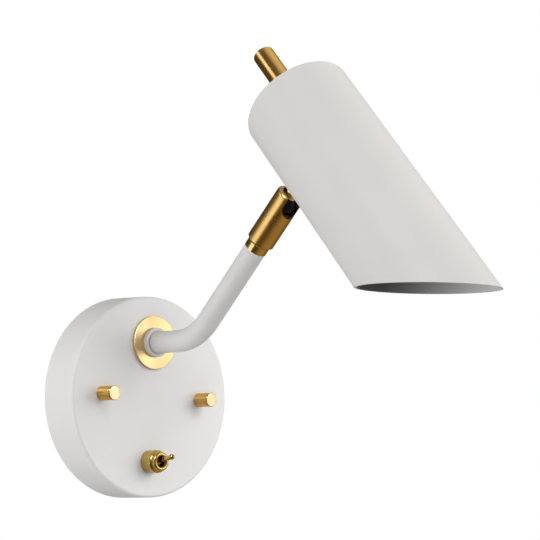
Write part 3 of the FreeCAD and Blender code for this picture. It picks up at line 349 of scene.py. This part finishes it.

# %% [markdown]
# ## The shade, inside and out
# The shade is one piece. Inside, a grey is painted over the white, darker deeper in: painted shade, for the
# dark inside of the tube. We could pick the faces inside and give them a second material, but a mask needs
# no picking and can fade. It takes the points that lie no farther from the axis than the inner face of the
# wall, and below the closed top, and the painted shade grows from the tip of the mouth inwards. Each pair
# of numbers is in metres, and says where a mask begins to change and where it stops.

# %% Material: the shade's coat
# The shade's tone of the same white is darker: painted shade.
SHADE_WHITE_PAINTED_DARKER = (0.665, 0.656, 0.647)
SHADE_BORE = (0.0309, 0.0312)
SHADE_CEILING = (0.0343, 0.0345)
SHADE_DEPTH = (-0.13, -0.08)
# How much of the grey painted shade is mixed in, and its colour.
PAINTED_SHADE_SHARE = 0.8
PAINTED_SHADE_GREY = (0.185, 0.175, 0.165, 1)


def inside_painted_shade(tree, outside):
    """Painted shade inside the shade, over the colour that it has outside."""
    along, out = along_and_out(tree, shade_centre, shade_line)
    inner = scaled(tree, out, *SHADE_BORE, 1.0, 0.0)
    below_top = scaled(tree, along, *SHADE_CEILING, 1.0, 0.0)
    depth = scaled(tree, along, *SHADE_DEPTH, 0.0, PAINTED_SHADE_SHARE)
    # Painted shade: grey over the white inside the shade, growing deeper in.
    painted_dark = calculate(tree, "MULTIPLY", calculate(tree, "MULTIPLY", inner, below_top), depth)
    return blended(tree, painted_dark, outside, PAINTED_SHADE_GREY)


finish(white_coat("white_coat_shade", SHADE_WHITE_PAINTED_DARKER, clouds=11.0, inside_tone=inside_painted_shade), "shade")

# %% [markdown]
# ## Turned brass
# The knuckle, the collars, the rod, the bezel and the lever are turned from brass bar and left satin.
# Brass only tints what it reflects, so the shader is fully metallic. The lathe's rings come from the
# shared group: they streak the colour, roughen the surface and lift it by a hair. Some pieces have a
# broad soft highlight and some a narrow one, so each is given a roughness of its own.

# %% Recipe: turned brass
BRASS = (0.70, 0.48, 0.18)
DEEPENING = (0.93, 0.90, 0.82)
LATHE_PITCH = 5000.0
STREAK_SPAN = (0.35, 0.65)
RING_ROUGHNESS = (-0.02, 0.04)
RING_LIFT = 0.00005
LACQUER_SHARE = 0.3
HAZE_ROUGHNESS = 0.05


def turned_brass(name, centre, axis, roughness=0.2, depth=0.05, colour=BRASS):
    """Brass turned about an axis through a centre."""
    material, tree, shader = new_material(name, Metallic=1.0)
    marks = use_group(tree, lathe_group, Centre=centre, Axis=axis, Pitch=LATHE_PITCH)
    touch = use_group(tree, handling_group)
    deeper = [channel * factor for channel, factor in zip(colour, DEEPENING)] + [1]
    streaks = scaled(tree, marks["Streak"], *STREAK_SPAN, 0.0, 1.0)
    ringed = blended(tree, streaks, (*colour, 1), deeper)
    toned = blended(tree, calculate(tree, "MULTIPLY", touch["Tone"], LACQUER_SHARE), ringed, deeper)
    connect(tree, toned, shader["Base Color"])
    haze = calculate(tree, "MULTIPLY", touch["Haze"], HAZE_ROUGHNESS)
    smoothest, roughest = [roughness + change for change in RING_ROUGHNESS]
    grain = scaled(tree, marks["Height"], *NOISE_SPAN, smoothest, roughest)
    connect(tree, calculate(tree, "ADD", grain, haze), shader["Roughness"])
    bump = add(tree, "Bump", {"Strength": depth, "Distance": RING_LIFT, "Height": marks["Height"]})
    connect(tree, bump.outputs[0], shader["Normal"])
    return material


print("brass", BRASS)

# %% [markdown]
# ## Brass of the joint and the rod
# Knuckle and neck collar lie on the arm's line, the stem collar on the stem's, and the rod on the shade's.
# The rings of the rod are finer than a pixel of the picture, and a deeper bump would break its highlight
# into dots, so its bump is almost nothing. The stem collar's brass is paler than real brass, so that it
# looks brighter: a painted highlight.

# %% Material: brass of the joint and the rod
# Paler than real brass: a painted highlight on the stem collar and the ball's neck.
STEM_BRASS_PAINTED_SHEEN = (0.95, 0.75, 0.42)

finish(turned_brass("brass_knuckle", pivot, arm_line, roughness=0.27, depth=0.03), "knuckle_body")
finish(turned_brass("brass_neck", pivot, arm_line, roughness=0.16), "neck_collar")
finish(turned_brass("brass_stem", pivot, stem_line, colour=STEM_BRASS_PAINTED_SHEEN), "stem_collar")
finish(turned_brass("brass_rod", shade_centre, shade_line, roughness=0.21, depth=0.005), "rod_handle")

# %% [markdown]
# ## Brass of the switch
# The bezel and the lever are turned about a line that points straight out of the wall, each through
# its own middle. The bezel has a broader highlight than the lever, and a browner tone.

# %% Material: brass of the switch
BEZEL_BRASS = (0.58, 0.42, 0.13)


def middle(name):
    """The middle of a piece's box."""
    low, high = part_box(name)
    return (Vector(low) + Vector(high)) / 2


bezel_brass = turned_brass(
    "brass_bezel", middle("switch_bezel"), out_of_wall, roughness=0.25, colour=BEZEL_BRASS,
)
finish(bezel_brass, "switch_bezel")
finish(turned_brass("brass_lever", middle("switch_lever"), out_of_wall, roughness=0.18), "switch_lever")

# %% [markdown]
# ## Faced brass
# The rosette and the thumb nuts are faced on the lathe. The tool leaves circles, and the circles
# spread the light across themselves, so a faced disc shows bright and dark sectors. A bump would need
# circles as wide as a pixel to do that. Anisotropy does it at any size: it stretches the highlight
# across a tangent, which here runs round the line that points out of the wall.

# %% Material: the rosette's faced brass
ROSETTE_BRASS = (0.80, 0.625, 0.335)


def faced_brass(name, piece, stretch, turn, roughness, colour):
    """Brass with the sectors of a faced disc: turn is a share of a full turn."""
    material = turned_brass(name, middle(piece), out_of_wall, roughness=roughness, colour=colour)
    tree = material.node_tree
    shader = tree.nodes["Principled BSDF"].inputs
    shader["Anisotropic"].default_value = stretch
    shader["Anisotropic Rotation"].default_value = turn
    connect(tree, add(tree, "Tangent", direction_type="RADIAL", axis="Y").outputs[0], shader["Tangent"])
    return material


rosette_brass = faced_brass(
    "brass_rosette", "rosette", stretch=0.75, turn=0.0, roughness=0.30, colour=ROSETTE_BRASS,
)
finish(rosette_brass, "rosette")

# %% [markdown]
# ## Thumb nuts
# The end face of a thumb nut is smoother and greyer than its barrel. The nut points straight out of
# the wall, so a point's distance from the wall tells the end face from the barrel. We take the two
# links that the recipe made, for colour and roughness, and blend the end face into each of them.

# %% Material: thumb nuts
NUT_BRASS = (0.86, 0.55, 0.16)
NUT_END_BRASS = (0.55, 0.44, 0.26, 1)
NUT_END_SMOOTHER = 0.16
NUT_END_STARTS = 0.0006
NUT_END_FULL = 0.0002

for name in ("thumb_nut_left", "thumb_nut_right"):
    nut_brass = faced_brass("brass_" + name, name, stretch=0.9, turn=0.25, roughness=0.36, colour=NUT_BRASS)
    tree = nut_brass.node_tree
    shader = tree.nodes["Principled BSDF"].inputs
    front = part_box(name)[0].y
    level = add(tree, "SeparateXYZ", {0: add(tree, "TexCoord").outputs["Object"]}).outputs["Y"]
    end_face = scaled(tree, level, front + NUT_END_STARTS, front + NUT_END_FULL, 0.0, 1.0)
    barrel_colour = shader["Base Color"].links[0].from_socket
    barrel_rough = shader["Roughness"].links[0].from_socket
    smoother = calculate(tree, "MULTIPLY", end_face, NUT_END_SMOOTHER)
    connect(tree, blended(tree, end_face, barrel_colour, NUT_END_BRASS), shader["Base Color"])
    connect(tree, calculate(tree, "SUBTRACT", barrel_rough, smoother), shader["Roughness"])
    finish(nut_brass, name)

# %% [markdown]
# ## A recipe for the hidden pieces
# Behind the plate and inside the shade are plated steel, plastics, ceramic and insulated wire. They
# are seen from behind or from below, so each has its real finish too. One recipe makes all of them: a
# colour that drifts between two tones, a roughness that drifts with it, and a fine bump.

# %% Recipe: plain finish
DRIFT_ROUGHNESS = (-0.05, 0.07)
GRAIN_LIFT = 0.0001


def plain_finish(name, colour, second, roughness, metallic=0.0, patch=120.0, grain=900.0, depth=0.08):
    """A finish whose colour drifts between two tones, with a fine grain."""
    material, tree, shader = new_material(name, Metallic=metallic)
    touch = use_group(tree, handling_group, Patch=patch, Smear=grain)
    connect(tree, blended(tree, touch["Haze"], (*colour, 1), (*second, 1)), shader["Base Color"])
    smoothest, roughest = [roughness + change for change in DRIFT_ROUGHNESS]
    connect(tree, scaled(tree, touch["Tone"], 0.0, 1.0, smoothest, roughest), shader["Roughness"])
    bump = add(tree, "Bump", {"Strength": depth, "Distance": GRAIN_LIFT, "Height": touch["Tone"]})
    connect(tree, bump.outputs[0], shader["Normal"])
    return material


print("recipe: plain_finish")

# %% [markdown]
# ## Plated steel and small brass
# Bracket, studs, nuts, washers and screws are steel with a thin zinc plate, and the tinned earth lug
# looks much the same. Zinc is blue-grey and turns yellowish in patches, under a dull skin. A metallic
# shader would take on the brown of the tent that stands round the lamp later, so this one is only
# partly metallic. The springs are dark hardened steel. The earth screw and the switch's terminals are
# plain brass.

# %% Material: plated steel and small brass
ZINC_PIECES = (
    "mounting_bracket", "mounting_studs", "stud_nuts", "terminal_screws", "terminal_fixing_screw",
    "switch_nut", "switch_washer", "arm_nipple", "arm_washer", "arm_nut", "swivel_nut", "saddle_washer",
    "stem_nut", "rod_washer", "rod_screw", "holder_bracket", "holder_screws", "earth_lug",
)

zinc_plate = plain_finish("zinc_plate", (0.42, 0.43, 0.44), (0.50, 0.49, 0.44), 0.36, metallic=0.4)
spring_steel = plain_finish("spring_steel", (0.24, 0.24, 0.25), (0.20, 0.19, 0.18), 0.3, metallic=0.6)
terminal_brass = plain_finish("terminal_brass", (0.70, 0.50, 0.22), (0.58, 0.38, 0.15), 0.35, metallic=1.0)
finish(zinc_plate, *ZINC_PIECES)
finish(spring_steel, "disc_springs")
finish(terminal_brass, "earth_screw", "switch_terminals")

# %% [markdown]
# ## Rubber and plastics
# The grommet is black rubber. The switch's body and the ball's seat are moulded in black plastic, and their
# black also stands for the shade in the hole of the switch's bezel and in the knuckle's notch: painted
# shade. The terminal block and the neck's washer are nylon in its natural cream.

# %% Material: rubber and plastics
black_rubber = plain_finish("black_rubber", (0.018, 0.018, 0.019), (0.026, 0.026, 0.026), 0.7)
# Black plastic that also stands for the shade in recesses: painted shade.
moulded_black_and_shade = plain_finish("moulded_black_and_shade", (0.02, 0.02, 0.021), (0.028, 0.028, 0.028), 0.42)
natural_nylon = plain_finish("natural_nylon", (0.66, 0.63, 0.55), (0.60, 0.56, 0.47), 0.42)
finish(black_rubber, "cable_grommet")
finish(moulded_black_and_shade, "switch_body", "ball_seat")
finish(natural_nylon, "terminal_block", "neck_washer")

# %% [markdown]
# ## The light source
# The holder is fired ceramic, with a dry, slightly coarse surface. The reflector lamp in it is a pale
# shell with a frosted lens. Switched off, the lens looks grey, because little of the light that goes
# in comes out again. A frosted face shows nothing of what lies behind it, so it needs no clear glass.

# %% Material: holder, reflector lamp and lens
fired_ceramic = plain_finish(
    "fired_ceramic", (0.72, 0.69, 0.62), (0.66, 0.62, 0.54), 0.62, patch=200.0, grain=1800.0, depth=0.2,
)
lamp_shell = plain_finish("lamp_shell", (0.58, 0.58, 0.57), (0.54, 0.54, 0.52), 0.38)
frosted_lens = plain_finish("frosted_lens", (0.40, 0.41, 0.42), (0.36, 0.37, 0.38), 0.35)
finish(fired_ceramic, "lamp_holder")
finish(lamp_shell, "reflector_lamp")
finish(frosted_lens, "lamp_lens")

# %% [markdown]
# ## Wires
# The colour of a wire says what it carries: blue for neutral, brown for live, green for earth. The
# leads near the hot lamp are insulated with pale silicone, and the flex in the arm has a woven black
# sleeve. Vinyl is glossier than silicone, and a woven sleeve is the dullest.

# %% Material: wires
woven_sleeve = plain_finish("woven_sleeve", (0.02, 0.02, 0.02), (0.035, 0.035, 0.035), 0.75)
blue_vinyl = plain_finish("blue_vinyl", (0.02, 0.09, 0.42), (0.02, 0.07, 0.34), 0.35)
brown_vinyl = plain_finish("brown_vinyl", (0.12, 0.045, 0.02), (0.09, 0.035, 0.015), 0.35)
green_vinyl = plain_finish("green_vinyl", (0.05, 0.24, 0.03), (0.04, 0.2, 0.025), 0.35)
white_silicone = plain_finish("white_silicone", (0.68, 0.66, 0.60), (0.62, 0.60, 0.54), 0.5)
finish(woven_sleeve, "arm_flex")
finish(blue_vinyl, "neutral_lead")
finish(brown_vinyl, "switched_lead", "feed_lead")
finish(green_vinyl, "earth_lead")
finish(white_silicone, "lamp_leads")

# %% [markdown]
# ## The ball and its neck
# The ball is blackened, very dark and with a weak reflection, so that it also stands for the shade deep in
# the knuckle's notch: black oxide and painted shade. Its neck is left in bare brass, in the pale stem brass
# that is a painted highlight.
# One piece carries both finishes, so the distance from the pivot, in metres, tells which of them a
# point has. The same mask sets the colour and makes the neck metallic.

# %% Material: blackened ball
BALL_EDGE = (0.00630, 0.00640)
BALL_PITCH = 2600.0
BALL_ROUGHNESS = (0.36, 0.46)
# Black of the ball: black oxide darkened further as painted shade for the notch.
OXIDE_BLACK_AND_SHADE = (0.004, 0.003, 0.003, 1)
WORN_OXIDE_AND_SHADE = (0.009, 0.007, 0.006, 1)

ball_finish, tree, shader = new_material("blackened_ball_and_shade", Specular_IOR_Level=0.12)
marks = use_group(tree, lathe_group, Centre=pivot, Axis=stem_line, Pitch=BALL_PITCH)
place = add(tree, "TexCoord").outputs["Object"]
far = add(tree, "VectorMath", {0: place, 1: pivot}, operation="DISTANCE").outputs["Value"]
bare = scaled(tree, far, *BALL_EDGE, 0.0, 1.0)
# Painted shade: the ball's black stands for the shade in the notch as well as its oxide.
black = blended(tree, marks["Streak"], OXIDE_BLACK_AND_SHADE, WORN_OXIDE_AND_SHADE)
connect(tree, blended(tree, bare, black, (*STEM_BRASS_PAINTED_SHEEN, 1)), shader["Base Color"])
connect(tree, bare, shader["Metallic"])
connect(tree, scaled(tree, marks["Height"], *NOISE_SPAN, *BALL_ROUGHNESS), shader["Roughness"])
finish(ball_finish, "pivot_ball")

# %% [markdown]
# ## The studio: a white world
# The lamp stands in front of plain white. The world is white to the camera and to reflections, and
# lights the lamp with a softer grey, so that nothing burns out. A Light Path node tells these uses
# apart. The Standard view shows a colour about as it is written.

# %% World
AMBIENT = 0.41
WHITE = (1, 1, 1, 1)

world = bpy.data.worlds.new("studio")
bpy.context.scene.world = world
world.use_nodes = True
sky = world.node_tree
background = sky.nodes["Background"]
rays = add(sky, "LightPath").outputs
reflected = calculate(sky, "MAXIMUM", rays["Is Glossy Ray"], rays["Is Transmission Ray"])
shown = calculate(sky, "MAXIMUM", rays["Is Camera Ray"], reflected)
background.inputs["Color"].default_value = WHITE
connect(sky, scaled(sky, shown, 0.0, 1.0, AMBIENT, 1.0), background.inputs["Strength"])
bpy.context.scene.view_settings.view_transform = "Standard"
print("ambient", AMBIENT)

# %% [markdown]
# ## Soft lamps
# A studio lamp with a large cloth front is a soft box. Blender's area lamp is just that. We place each
# one by two angles and a distance, as a photographer walks round the object, and turn it to the same
# aim, a point near the middle of the reading lamp.

# %% Helpers: soft lamps
AIM = Vector((0, -0.12, 0.07))


def around(azimuth, elevation, distance):
    """A place round the aim: azimuth 0 is straight out from the wall, 90 is to its right."""
    turn = math.radians(azimuth)
    lift = math.radians(elevation)
    return AIM + distance * Vector((
        math.sin(turn) * math.cos(lift), -math.cos(turn) * math.cos(lift), math.sin(lift),
    ))


def soft_lamp(name, place, width, height, power):
    """A rectangular soft lamp at a place, turned to the aim."""
    data = bpy.data.lights.new(name, "AREA")
    data.shape = "RECTANGLE"
    data.size = width
    data.size_y = height
    data.energy = power
    lamp = bpy.data.objects.new(name, data)
    lamp.location = place
    lamp.rotation_mode = "QUATERNION"
    lamp.rotation_quaternion = (AIM - place).to_track_quat("-Z", "Y")
    bpy.context.scene.collection.objects.link(lamp)
    print(name, power, "W")
    return lamp


print("aim", [round(value, 3) for value in AIM])

# %% [markdown]
# ## Lamps for the white pieces
# Four large lamps model the round forms of the plate, the arm and the shade. Two stand to the left, one
# level and one low, because the camera looks from that side and slightly up. Two are larger and stand
# farther off, to the right and in front, so that the shade doesn't burn out where it is nearest to
# them. Bare metal would show all four as glaring patches, so reflections don't see them.

# %% Lamps
for name, azimuth, elevation, distance, side, power in (
    ("left_lamp", -107, 0, 1.7, 1.3, 14.6),
    ("low_left_lamp", -92, -38, 1.7, 1.2, 17.1),
    ("right_lamp", 42, 19, 2.7, 2.3, 33.0),
    ("front_lamp", 6, 29, 2.7, 1.6, 35.0),
):
    big_lamp = soft_lamp(name, around(azimuth, elevation, distance), side, side, power)
    big_lamp.visible_glossy = False

# %% [markdown]
# ## Strips for the brass
# Smaller and dimmer lamps stand in for the large ones in reflections, and light nothing else. Their
# outlines are the bright stripes on the knuckle and the rod, and the glow of the rosette. The tall
# strip leans, so that its reflection runs straight along the knuckle. The barrels of the thumb nuts
# need no strip, because they mirror the white plate that they stand on.

# %% Strips
STRIP_DISTANCE = 1.5

for name, azimuth, elevation, width, height, lean, power in (
    ("left_strip", -115, 4, 0.58, 2.0, 22, 6.8),
    ("upper_strip", -62, 32, 0.5, 0.5, 0, 13.0),
    ("front_panel", 42, 8, 0.8, 0.9, 0, 5.6),
):
    strip = soft_lamp(name, around(azimuth, elevation, STRIP_DISTANCE), width, height, power)
    strip.rotation_quaternion @= Quaternion((0, 0, 1), math.radians(lean))
    strip.visible_diffuse = False

# %% [markdown]
# ## A dark tent for the brass
# Bare brass in an all-white room looks like flat yellow paint. A photographer hangs dark cloth round
# it, so that the lamps show in it as bright stripes between dark ones. The tent here is a large
# faceted dome between the lamp and the white world. Only reflections can see it, so it shades nothing
# and hides nothing.

# %% Tent
TENT_RADIUS = 3.0
TENT_FACETING = 4

bpy.ops.mesh.primitive_ico_sphere_add(subdivisions=TENT_FACETING, radius=TENT_RADIUS, location=AIM)
tent = bpy.context.object
tent.name = "tent"
tent.visible_camera = False
tent.visible_diffuse = False
tent.visible_transmission = False
tent.visible_shadow = False
tent.visible_volume_scatter = False
print("tent", TENT_RADIUS, "m")

# %% [markdown]
# ## The tent's cloth
# The cloth is brown, and brass looks warmer and deeper for it. It is lighter underfoot, and overhead
# it opens to a pale ceiling. Each of these is a soft round patch: a dot product of two directions says
# how far a spot of the dome lies towards the middle of the patch. The cloth glows by itself, so that
# it is exactly as bright as its colour says, wherever the lamps stand.

# %% Material: the tent's cloth
CLOTH = (0.10, 0.065, 0.023, 1)
LIT_CLOTH = (0.44, 0.31, 0.135, 1)
CEILING = (0.95, 0.82, 0.58, 1)
UNDERFOOT = Vector((0.40, -0.15, -0.90))
UNDERFOOT_EDGE = (0.55, 0.97)
OVERHEAD = Vector((0.34, -0.1, 0.94))
OVERHEAD_EDGE = (0.68, 0.99)

tent_cloth = bpy.data.materials.new("tent_cloth")
tent_cloth.use_nodes = True
tree = tent_cloth.node_tree
tree.nodes.clear()
place = add(tree, "TexCoord").outputs["Object"]
spot = add(tree, "VectorMath", {0: place}, operation="NORMALIZE").outputs[0]


def towards(direction):
    """How far a spot of the dome lies towards a direction: 1 is all the way."""
    line = direction.normalized()
    return add(tree, "VectorMath", {0: spot, 1: line}, operation="DOT_PRODUCT").outputs["Value"]


underfoot = scaled(tree, towards(UNDERFOOT), *UNDERFOOT_EDGE, 0.0, 1.0)
overhead = scaled(tree, towards(OVERHEAD), *OVERHEAD_EDGE, 0.0, 1.0)
low_cloth = blended(tree, underfoot, CLOTH, LIT_CLOTH)
glow = add(tree, "Emission", {"Color": blended(tree, overhead, low_cloth, CEILING), "Strength": 1.0})
connect(tree, glow.outputs[0], tree.nodes.new("ShaderNodeOutputMaterial").inputs["Surface"])
tent_cloth.cycles.emission_sampling = "NONE"
tent.data.materials.append(tent_cloth)
print("tent cloth has", len(tree.nodes), "nodes")

# %% [markdown]
# ## The floor
# A pale floor lies well below the lamp, as under a light on a wall, and takes its shadow. A round
# sheet is enough: it is flat, and only its upper face is ever seen. Reflections don't see it, because
# they have the tent.

# %% Floor
FLOOR_LEVEL = -0.32
FLOOR_RADIUS = 1.3
FLOOR_CORNERS = 96

bpy.ops.mesh.primitive_circle_add(
    vertices=FLOOR_CORNERS, radius=FLOOR_RADIUS, fill_type="NGON", location=(0, 0, FLOOR_LEVEL),
)
floor = bpy.context.object
floor.name = "floor"
floor.visible_glossy = False
print("floor at", FLOOR_LEVEL, "m")

# %% [markdown]
# ## The floor's paint
# To the camera the paint is pale. To the light that bounces about it is darker, so that it doesn't
# throw light up into the shade's mouth, which is dark on the real lamp when it is switched off. The
# sheet fades out towards its rim, so that no edge shows against the white world, and it can't be seen
# from below, where it would hide the lamp. Alpha does both.

# %% Material: the floor's paint
PALE_PAINT = (0.88, 0.88, 0.88, 1)
WORN_PAINT = (0.86, 0.86, 0.86, 1)
WEAR_SCALE = 3.0
BOUNCE_GREY = (0.72, 0.72, 0.72, 1)
FADE = (0.55, 1.25)

floor_paint, tree, shader = new_material("floor_paint", Roughness=0.8)
place = add(tree, "TexCoord").outputs["Object"]
wear = add(tree, "TexNoise", {"Vector": place, "Scale": WEAR_SCALE}).outputs[0]
seen = add(tree, "LightPath").outputs["Is Camera Ray"]
paint = blended(tree, wear, PALE_PAINT, WORN_PAINT)
connect(tree, blended(tree, seen, BOUNCE_GREY, paint), shader["Base Color"])
from_middle = add(tree, "VectorMath", {0: place}, operation="LENGTH").outputs["Value"]
solid = scaled(tree, from_middle, *FADE, 1.0, 0.0)
above = calculate(tree, "SUBTRACT", 1.0, add(tree, "NewGeometry").outputs["Backfacing"])
connect(tree, calculate(tree, "MULTIPLY", solid, above), shader["Alpha"])
floor.data.materials.append(floor_paint)
print("floor fades out from", FADE[0], "to", FADE[1], "m")
